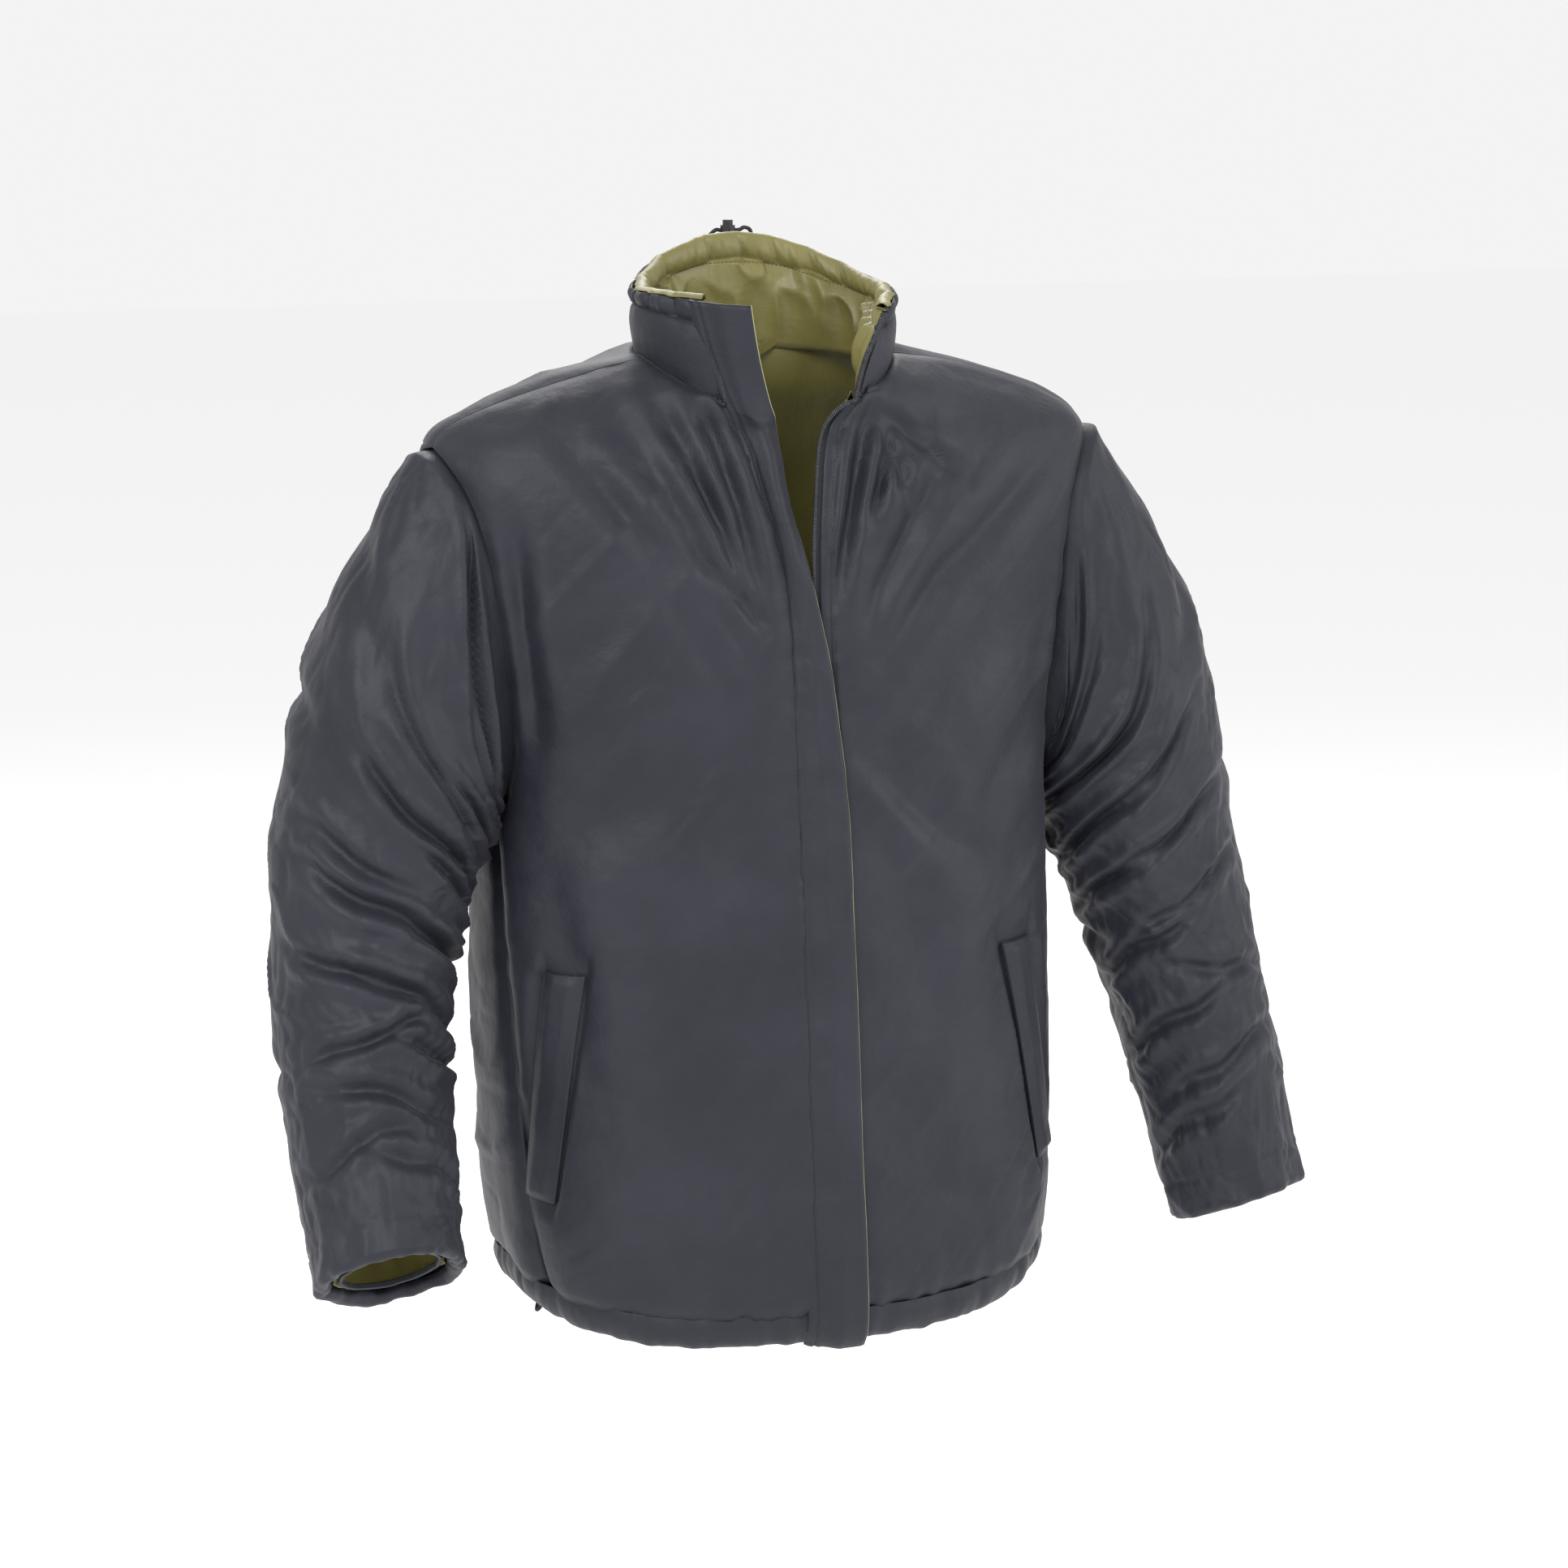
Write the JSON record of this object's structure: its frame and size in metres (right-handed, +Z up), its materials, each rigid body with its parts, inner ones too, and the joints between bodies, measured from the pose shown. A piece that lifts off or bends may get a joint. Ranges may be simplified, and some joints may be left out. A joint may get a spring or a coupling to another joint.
{
  "type": "padded jacket",
  "caption": "Padded reversible hip-length jacket with stand-up drawcord collar, full front zip under a storm flap, slanted welt pockets and drawcord hem.",
  "frame": {"origin": "middle of the neck opening, level with the base of the collar", "axes": "+Z up, the front faces -Y, the wearer's left is +X"},
  "size_m": [0.8067, 0.3329, 0.8212],
  "materials": {
    "charcoal_nylon": "satin",
    "olive_lining": "satin",
    "wadding": "matte",
    "black_plastic": "satin",
    "black_metal": "satin",
    "black_cord": "matte",
    "steel": "satin"
  },
  "bodies": {
    "torso": {"back_shell": "charcoal_nylon", "back_padding": "wadding", "back_lining": "olive_lining", "right_front_shell": "charcoal_nylon", "right_front_padding": "wadding", "right_front_lining": "olive_lining", "left_front_shell": "charcoal_nylon", "left_front_padding": "wadding", "left_front_lining": "olive_lining", "collar_shell": "charcoal_nylon", "collar_padding": "wadding", "collar_lining": "olive_lining", "collar_drawcord": "black_cord", "hem_drawcord": "black_cord", "collar_cord_loop": "black_cord", "hem_cord_loop": "black_cord", "hanger_loop": "black_cord", "zip_tape_right": "charcoal_nylon", "zip_tape_left": "charcoal_nylon", "storm_flap_upper": "charcoal_nylon", "pocket_welt_right": "charcoal_nylon", "pocket_welt_left": "charcoal_nylon", "hem_casing": "charcoal_nylon", "pocket_bag_right": "olive_lining", "pocket_bag_left": "olive_lining", "zip_coil_right": "black_plastic", "zip_coil_left": "black_plastic", "zip_retainer_box": "black_plastic", "zip_insertion_pin": "black_plastic", "zip_top_stop_right": "black_metal", "zip_top_stop_left": "black_metal", "collar_eyelet_outer": "black_metal", "collar_eyelet_inner": "black_metal", "hem_eyelet_front": "black_metal", "hem_eyelet_rear": "black_metal"},
    "zip_slider": {"zip_slider": "black_metal"},
    "zip_pull_outer": {"zip_pull_outer": "black_metal"},
    "zip_pull_inner": {"zip_pull_inner": "black_metal"},
    "storm_flap": {"storm_flap_lower": "charcoal_nylon"},
    "right_sleeve": {"right_sleeve_shell": "charcoal_nylon", "right_sleeve_padding": "wadding", "right_sleeve_lining": "olive_lining", "right_cuff_elastic": "black_cord"},
    "left_sleeve": {"left_sleeve_shell": "charcoal_nylon", "left_sleeve_padding": "wadding", "left_sleeve_lining": "olive_lining", "left_cuff_elastic": "black_cord"},
    "collar_lock": {"collar_cord_lock_body": "black_plastic", "collar_cord_lock_spring": "steel"},
    "collar_lock_button": {"collar_cord_lock_button": "black_plastic"},
    "hem_lock": {"hem_cord_lock_body": "black_plastic", "hem_cord_lock_spring": "steel"},
    "hem_lock_button": {"hem_cord_lock_button": "black_plastic"}
  },
  "joints": [
    {"name": "zip_slider_travel", "type": "slide", "parent": "torso", "child": "zip_slider", "axis": [0, -0.1142, -0.9935], "range_m": [0, 0.489]},
    {"name": "outer_pull_swing", "type": "hinge", "parent": "zip_slider", "child": "zip_pull_outer", "pos_m": [0, -0.10658, -0.17248], "axis": [1, 0, 0], "range_deg": [-7, 0]},
    {"name": "inner_pull_swing", "type": "hinge", "parent": "zip_slider", "child": "zip_pull_inner", "pos_m": [0, -0.09724, -0.17356], "axis": [1, 0, 0], "range_deg": [0, 100]},
    {"name": "storm_flap_opening", "type": "hinge", "parent": "torso", "child": "storm_flap", "pos_m": [-0.024, -0.138, -0.4655], "axis": [0, -0.1138, -0.9935], "range_deg": [0, 140]},
    {"name": "right_sleeve_lift", "type": "hinge", "parent": "torso", "child": "right_sleeve", "pos_m": [-0.258, 0, -0.046], "axis": [0, 1, 0], "range_deg": [0, 40]},
    {"name": "left_sleeve_lift", "type": "hinge", "parent": "torso", "child": "left_sleeve", "pos_m": [0.258, 0, -0.046], "axis": [0, -1, 0], "range_deg": [0, 40]},
    {"name": "collar_lock_on_cord", "type": "slide", "parent": "torso", "child": "collar_lock", "axis": [1, 0, 0], "range_m": [0, 0.003]},
    {"name": "collar_lock_press", "type": "slide", "parent": "collar_lock", "child": "collar_lock_button", "axis": [0, 0, -1], "range_m": [0, 0.0015], "stiffness_N_per_m": 400, "springref_m": -0.001, "deforming": ["collar_cord_lock_spring"]},
    {"name": "hem_lock_on_cord", "type": "slide", "parent": "torso", "child": "hem_lock", "axis": [0, 0, -1], "range_m": [0, 0.003]},
    {"name": "hem_lock_press", "type": "slide", "parent": "hem_lock", "child": "hem_lock_button", "axis": [-0.0298, 0.9996, 0], "range_m": [0, 0.0015], "stiffness_N_per_m": 400, "springref_m": -0.001, "deforming": ["hem_cord_lock_spring"]}
  ]
}
